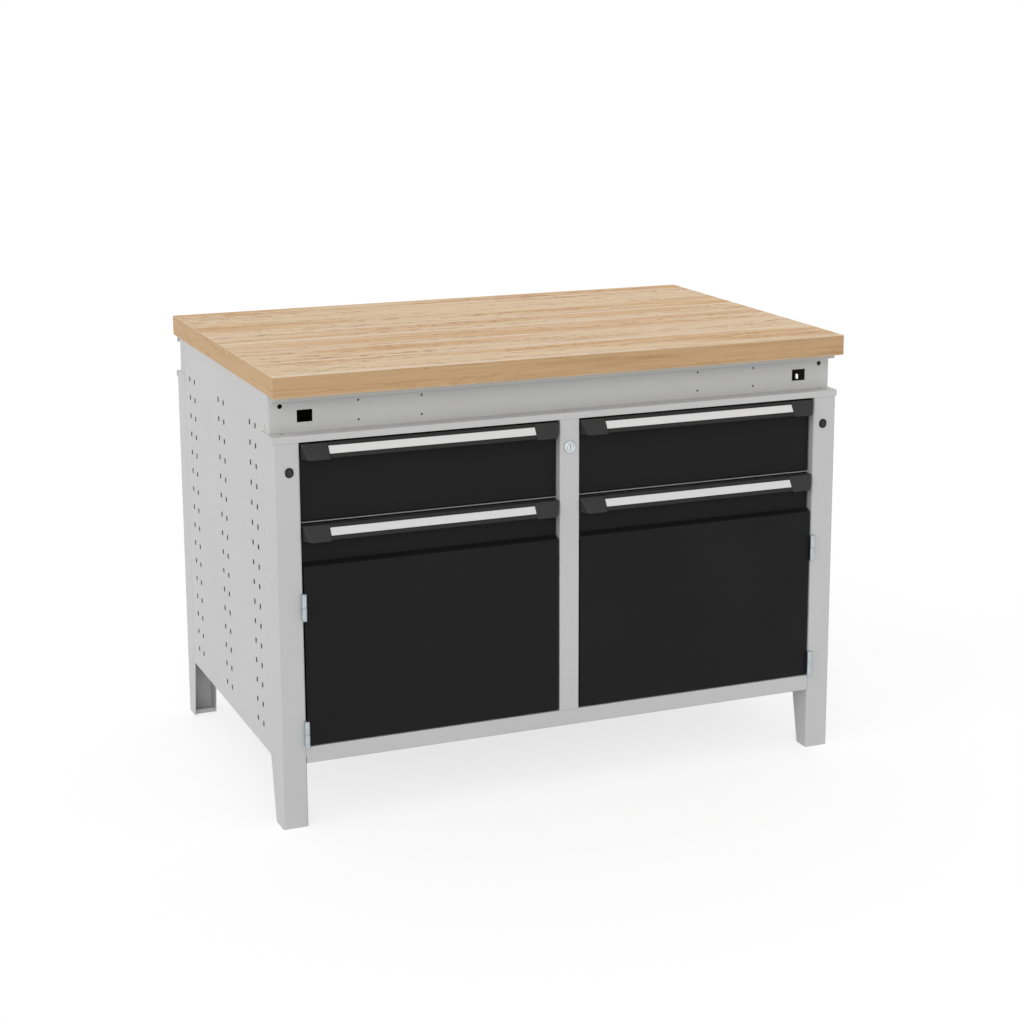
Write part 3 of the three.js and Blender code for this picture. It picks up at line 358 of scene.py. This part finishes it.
LAMELLA = 0.118
LAMELLA_START = 2.03
FACE_TURN = 0.7               # a surface belongs to the face or end that its normal turns this far to
EDGE_ROW = 9.0                # the long edges and the ends count as lamellae of their own
ROW_STEP = 7.0
ROW_SEED = 13.7
LAMELLA_TINT = 0.10
FACE_BROWN = (0.64, 0.375, 0.165)
FACE_PALE = (0.735, 0.553, 0.348)
# Darker tones of the long edges and the ends: painted shade of the upright sides
SHADED_EDGE_BROWN = (0.36, 0.212, 0.096)
SHADED_EDGE_PALE = (0.50, 0.323, 0.172)
EDGE_LINE = (0.60, 0.40, 0.215)
SHADED_END_TONE = (0.575, 0.365, 0.185)
ROSY_TONE = (0.70, 0.485, 0.31)
FACE_GRAIN = (0.50, 0.28, 0.11)
EDGE_GRAIN = (0.40, 0.235, 0.105)
FIBRE_TONE = (0.42, 0.24, 0.10)
VEIN_TONE = (0.42, 0.21, 0.075)
FLECK_TONE = (0.36, 0.155, 0.036)
GLUE_TONE = (0.775, 0.65, 0.53)
# Painted highlight of the rounded arris
ARRIS_HIGHLIGHT_TONE = (0.80, 0.66, 0.48)


def beech_board():
    graph = Graph("beech")
    x, y, z = graph.split(graph.place)
    normal_x, _, normal_z = graph.split(graph.normal)
    level = graph.math("ABSOLUTE", normal_z)
    on_face = graph.math("GREATER_THAN", level, FACE_TURN)
    on_end = graph.math("GREATER_THAN", graph.math("ABSOLUTE", normal_x), FACE_TURN)
    off_face = graph.math("SUBTRACT", 1.0, on_face)

    lane = graph.math("ADD", y, LAMELLA_START)
    tint, blush, offset = graph.split(graph.bands(lane, LAMELLA).outputs["Color"])
    row = graph.choose(on_face, graph.math("ADD", on_end, EDGE_ROW), offset)
    along = graph.math("ADD", graph.choose(on_end, x, y), graph.product(row, ROW_STEP))
    across = graph.choose(on_face, z, y)

    def grain(length, width, detail=2.0, roughness=0.5, distortion=0.0, seed=0.0):
        """Noise stretched along the lamella, in cells of about length by width."""
        stretched = graph.join(
            graph.math("DIVIDE", along, length),
            graph.math("DIVIDE", across, width),
            graph.math("ADD", graph.product(row, ROW_SEED), seed),
        )
        return graph.noise(stretched, 1.0, detail, roughness, distortion)

    broad = grain(1.0, 0.075, distortion=1.1)
    streak = grain(0.20, 0.0085, detail=3.0, roughness=0.6, distortion=0.3, seed=11.0)
    fine = grain(0.07, 0.0026, detail=4.0, roughness=0.65, seed=23.0)
    fibre = grain(0.016, 0.0007, detail=3.0, roughness=0.6, seed=31.0)

    # Tone of each lamella, with broad waves and streaks in it
    own = graph.product(graph.math("SUBTRACT", tint, 0.5), on_face, LAMELLA_TINT)
    tone = graph.choose(graph.choose(on_face, 0.5, 0.24), broad, streak)
    share = graph.range(graph.math("ADD", tone, own), 0.36, 0.54)
    # Painted shade: the long edges take darker copies of the face's tones, the ends a little less dark
    edge = graph.mix(share, SHADED_EDGE_BROWN, SHADED_EDGE_PALE)
    edge = graph.mix(graph.product(on_end, 0.7), edge, SHADED_END_TONE)
    colour = graph.mix(on_face, edge, graph.mix(share, FACE_BROWN, FACE_PALE))
    rosy = graph.product(graph.range(blush, 0.35, 0.9), on_face, 0.25)
    colour = graph.mix(rosy, colour, ROSY_TONE)

    # Fine grain, fibres, and the pale lines of the edges
    shade = graph.product(graph.range(fine, 0.5, 0.72), graph.choose(on_face, 0.6, 0.24))
    colour = graph.mix(shade, colour, graph.mix(on_face, EDGE_GRAIN, FACE_GRAIN))
    colour = graph.mix(graph.product(graph.range(fibre, 0.5, 0.75), 0.15), colour, FIBRE_TONE)
    line = grain(0.55, 0.0030, roughness=0.6, distortion=0.2, seed=97.0)
    line = graph.range(line, 0.46, 0.62, to_low=0.42, to_high=0.0)
    colour = graph.mix(graph.product(line, off_face), colour, EDGE_LINE)

    # Long brown lines, rows of short flecks, and single larger flecks
    vein = graph.range(grain(0.34, 0.0055, distortion=0.4, seed=83.0), 0.62, 0.72)
    colour = graph.mix(graph.product(vein, graph.choose(on_face, 0.35, 0.42)), colour, VEIN_TONE)
    zone = graph.range(grain(0.40, 0.017, distortion=0.2, seed=43.0), 0.50, 0.55)
    dash = graph.range(grain(0.036, 0.0075, roughness=0.55, seed=59.0), 0.49, 0.56)
    grit = graph.range(grain(0.013, 0.0016, seed=71.0), 0.45, 0.53, to_low=0.12)
    single = graph.range(grain(0.030, 0.011, detail=1.0, distortion=0.3, seed=67.0), 0.71, 0.76)
    marks = graph.math("MAXIMUM", graph.product(zone, dash, grit), graph.product(single, grit))
    marks = graph.product(marks, graph.choose(on_face, 0.3, 0.9))
    colour = graph.mix(marks, colour, FLECK_TONE)

    # Pale glue lines, strong at some joints only
    near = graph.bands(lane, LAMELLA, "DISTANCE_TO_EDGE").outputs["Distance"]
    joint = graph.join(graph.math("DIVIDE", x, 1.6), graph.math("DIVIDE", y, 0.09), 4.0)
    strong = graph.range(graph.noise(joint, 1.0), 0.44, 0.54)
    glue = graph.product(graph.range(near, 0.022, 0.05, to_low=1.0, to_high=0.0), strong, on_face, 0.85)
    colour = graph.mix(glue, colour, GLUE_TONE)

    # Painted highlight along the rounded arris, paler than the faces
    off_level = graph.range(level, 0.9, 0.995, to_low=0.6, to_high=0.0)
    arris_highlight = graph.product(graph.range(level, 0.1, 0.6), off_level)
    colour = graph.mix(arris_highlight, colour, ARRIS_HIGHLIGHT_TONE)

    graph.set(
        Base_Color=colour,
        Roughness=graph.range(fine, *WIDE_SPREAD, 0.5, 0.62),
        Specular_IOR_Level=0.3,
    )
    graph.bump(graph.math("ADD", graph.product(fibre, 0.6), grit), strength=0.08, distance=0.0004)
    return graph.material


beech = beech_board()


# Finish of every node that is carried over
def finish_of(name):
    if name == "worktop":
        return beech
    if name.startswith(("drawer_front", "door_")):
        return black_paint
    if name.startswith("cap_"):
        return cap_plastic
    if name.startswith("handle_bar"):
        return bar_plastic
    if name.startswith("plug"):
        return plug_plastic
    if name.startswith("label_strip"):
        return label_finish
    if name.startswith(("lock_housing", "lock_core")):
        return nickel
    if name.startswith(("hinge", "runner", "lock_bar")):
        return zinc
    # The divider takes the darker grey, painted shade of its gap
    if name == "divider":
        return divider_shade_paint
    return grey_paint


# Softened edges

SHARP_ANGLE = math.radians(50)
BEVEL_ANGLE = math.radians(35)
BEVEL_SEGMENTS = 2
WELD_REACH = 0.00001


def smooth_group():
    """Smooth shading across bends, with edges kept where the surface turns sharply."""
    group = bpy.data.node_groups.new("smooth_bends", "GeometryNodeTree")
    for way in ("INPUT", "OUTPUT"):
        group.interface.new_socket("Geometry", in_out=way, socket_type="NodeSocketGeometry")
    source = group.nodes.new("NodeGroupInput")
    target = group.nodes.new("NodeGroupOutput")
    faces = group.nodes.new("GeometryNodeSetShadeSmooth")
    edges = group.nodes.new("GeometryNodeSetShadeSmooth")
    edges.domain = "EDGE"
    edges.inputs["Shade Smooth"].default_value = False
    angle = group.nodes.new("GeometryNodeInputMeshEdgeAngle")
    sharp = group.nodes.new("FunctionNodeCompare")
    sharp.operation = "GREATER_THAN"
    sharp.inputs[1].default_value = SHARP_ANGLE
    links = group.links
    links.new(source.outputs[0], faces.inputs["Geometry"])
    links.new(faces.outputs[0], edges.inputs["Geometry"])
    links.new(angle.outputs["Unsigned Angle"], sharp.inputs[0])
    links.new(sharp.outputs[0], edges.inputs["Selection"])
    links.new(edges.outputs[0], target.inputs[0])
    return group


smooth_bends = smooth_group()


def soften(piece, width):
    weld = piece.modifiers.new("weld", "WELD")
    weld.merge_threshold = WELD_REACH
    if width > 0.0:
        bevel = piece.modifiers.new("bevel", "BEVEL")
        bevel.width = width
        bevel.segments = BEVEL_SEGMENTS
        bevel.limit_method = "ANGLE"
        bevel.angle_limit = BEVEL_ANGLE
        bevel.use_clamp_overlap = True
    smooth = piece.modifiers.new("smooth", "NODES")
    smooth.node_group = smooth_bends
    weighted = piece.modifiers.new("weighted", "WEIGHTED_NORMAL")
    weighted.keep_sharp = True


# Width of the softened edges of every node that is carried over
def softness_of(name):
    if name.startswith(("worktop", "gable")):
        return 0.0
    if name.startswith("cap_"):
        return 0.0014
    if name.startswith("label_strip"):
        return 0.0002
    if name.startswith("lock"):
        return 0.0004
    return 0.0003


for name, piece in nodes.items():
    for slot in piece.material_slots:
        slot.material = finish_of(name)
    soften(piece, softness_of(name))


# Fasteners: turned heads on the plane y = 0, facing +Y, as rings of (radius, height, corners)
# in millimetres, where a ring with corners is a socket of that many sides

MILLIMETRE = 0.001
HEAD_POINTS = 24
SCREW_RINGS = (
    (4.5, 0.0, 0), (4.75, 0.5, 0), (4.6, 1.3, 0), (4.0, 2.1, 0),
    (3.0, 2.6, 0), (2.1, 2.75, 0), (1.8, 2.75, 6), (1.65, 1.1, 6),
)
RIVET_RINGS = (
    (4.0, 0.0, 0), (4.2, 0.3, 0), (3.9, 0.9, 0), (3.0, 1.4, 0),
    (1.5, 1.6, 0), (1.15, 1.5, 0), (1.05, 0.5, 0),
)


def turned_head(name, rings):
    shape = bmesh.new()
    made = []
    for radius, height, corners in rings:
        ring = []
        for step in range(HEAD_POINTS):
            turn = 2 * math.pi * step / HEAD_POINTS
            reach = radius
            if corners:
                half = math.pi / corners
                reach = radius * math.cos(half) / math.cos(turn % (2 * half) - half)
            place = Vector((reach * math.cos(turn), height, reach * math.sin(turn)))
            ring.append(shape.verts.new(place * MILLIMETRE))
        made.append(ring)
    for low, high in zip(made, made[1:]):
        for step in range(HEAD_POINTS):
            after = (step + 1) % HEAD_POINTS
            shape.faces.new((low[step], low[after], high[after], high[step]))
    shape.faces.new(made[0])
    shape.faces.new(made[-1])
    bmesh.ops.recalc_face_normals(shape, faces=shape.faces)
    mesh = bpy.data.meshes.new(name)
    shape.to_mesh(mesh)
    shape.free()
    mesh.materials.append(zinc)
    return mesh


def fasten(name, mesh, body, places):
    for number, place in enumerate(places, 1):
        head = bpy.data.objects.new(f"{name}_{number}", mesh)
        scene.collection.objects.link(head)
        head.location = place
        soften(head, 0.0)
        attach(head, body)


# Screws through the back panel into the partition's back wall
SCREW_HEIGHTS = (0.18, 0.35, 0.52, 0.69)
panel_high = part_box("back_panel")[1]
fasten(
    "screw_back",
    turned_head("screw_head", SCREW_RINGS),
    "bench",
    [(0.0, panel_high[1], height) for height in SCREW_HEIGHTS],
)

# Rivets that hold each drawer's front to its box, seen from inside the drawer
DRAWER_WALL = 0.0012
RIVET_INSET = 0.05
RIVET_HEIGHTS = (0.612, 0.668)
rivet_head = turned_head("rivet_head", RIVET_RINGS)
for side in ("left", "right"):
    box_low, box_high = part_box(f"drawer_box_{side}")
    columns = (box_low[0] + RIVET_INSET, box_high[0] - RIVET_INSET)
    inside = box_low[1] + DRAWER_WALL
    fasten(
        f"rivet_drawer_{side}",
        rivet_head,
        f"drawer_{side}",
        [(column, inside, height) for column in columns for height in RIVET_HEIGHTS],
    )


# Floor, backdrop and light

WHITE = (1.0, 1.0, 1.0, 1.0)
FLOOR_REACH = 30.0
FLOOR_COLOUR = (0.9, 0.9, 0.9, 1.0)
FLOOR_GLOW = 1.17
FLOOR_GLOW_SHARE = 0.6
WORLD_LEVEL = 0.70


def seen_ray(tree):
    """1 for what the camera sees, straight, mirrored or through glass."""
    path = tree.nodes.new("ShaderNodeLightPath")
    mirrored = tree.nodes.new("ShaderNodeMath")
    mirrored.operation = "MAXIMUM"
    through = tree.nodes.new("ShaderNodeMath")
    through.operation = "MAXIMUM"
    tree.links.new(path.outputs["Is Camera Ray"], mirrored.inputs[0])
    tree.links.new(path.outputs["Is Glossy Ray"], mirrored.inputs[1])
    tree.links.new(mirrored.outputs[0], through.inputs[0])
    tree.links.new(path.outputs["Is Transmission Ray"], through.inputs[1])
    return through.outputs[0]


def plain_floor():
    mesh = bpy.data.meshes.new("floor")
    corners = ((-1, -1), (1, -1), (1, 1), (-1, 1))
    mesh.from_pydata([(x * FLOOR_REACH, y * FLOOR_REACH, 0.0) for x, y in corners], [], [(0, 1, 2, 3)])
    floor = bpy.data.objects.new("floor", mesh)
    scene.collection.objects.link(floor)
    material = bpy.data.materials.new("floor")
    material.use_nodes = True
    tree = material.node_tree
    tree.nodes.clear()
    diffuse = tree.nodes.new("ShaderNodeBsdfDiffuse")
    diffuse.inputs["Color"].default_value = FLOOR_COLOUR
    glow = tree.nodes.new("ShaderNodeEmission")
    glow.inputs["Strength"].default_value = FLOOR_GLOW
    share = tree.nodes.new("ShaderNodeMath")
    share.operation = "MULTIPLY"
    share.inputs[1].default_value = FLOOR_GLOW_SHARE
    mixed = tree.nodes.new("ShaderNodeMixShader")
    output = tree.nodes.new("ShaderNodeOutputMaterial")
    tree.links.new(seen_ray(tree), share.inputs[0])
    tree.links.new(share.outputs[0], mixed.inputs["Fac"])
    tree.links.new(diffuse.outputs[0], mixed.inputs[1])
    tree.links.new(glow.outputs[0], mixed.inputs[2])
    tree.links.new(mixed.outputs[0], output.inputs["Surface"])
    mesh.materials.append(material)


def studio_world():
    world = bpy.data.worlds.new("studio")
    world.use_nodes = True
    scene.world = world
    tree = world.node_tree
    tree.nodes.clear()
    seen = tree.nodes.new("ShaderNodeBackground")
    seen.inputs["Color"].default_value = WHITE
    lit = tree.nodes.new("ShaderNodeBackground")
    lit.inputs["Color"].default_value = WHITE
    lit.inputs["Strength"].default_value = WORLD_LEVEL
    mixed = tree.nodes.new("ShaderNodeMixShader")
    output = tree.nodes.new("ShaderNodeOutputWorld")
    tree.links.new(seen_ray(tree), mixed.inputs["Fac"])
    tree.links.new(lit.outputs[0], mixed.inputs[1])
    tree.links.new(seen.outputs[0], mixed.inputs[2])
    tree.links.new(mixed.outputs[0], output.inputs["Surface"])


def soft_light(name, direction, strength, spread):
    """A sun lamp that stands in a direction, its edges softened by an angle in degrees."""
    lamp = bpy.data.lights.new(name, "SUN")
    lamp.energy = strength
    lamp.angle = math.radians(spread)
    light = bpy.data.objects.new(name, lamp)
    scene.collection.objects.link(light)
    light.rotation_mode = "QUATERNION"
    light.rotation_quaternion = turned_to(-Vector(direction))


plain_floor()
studio_world()
soft_light("key", direction=(-0.60, -0.10, 0.30), strength=0.47, spread=50)
soft_light("fill", direction=(-0.38, -0.82, 0.42), strength=0.69, spread=35)
soft_light("rear", direction=(0.80, 0.50, 0.30), strength=0.2, spread=60)
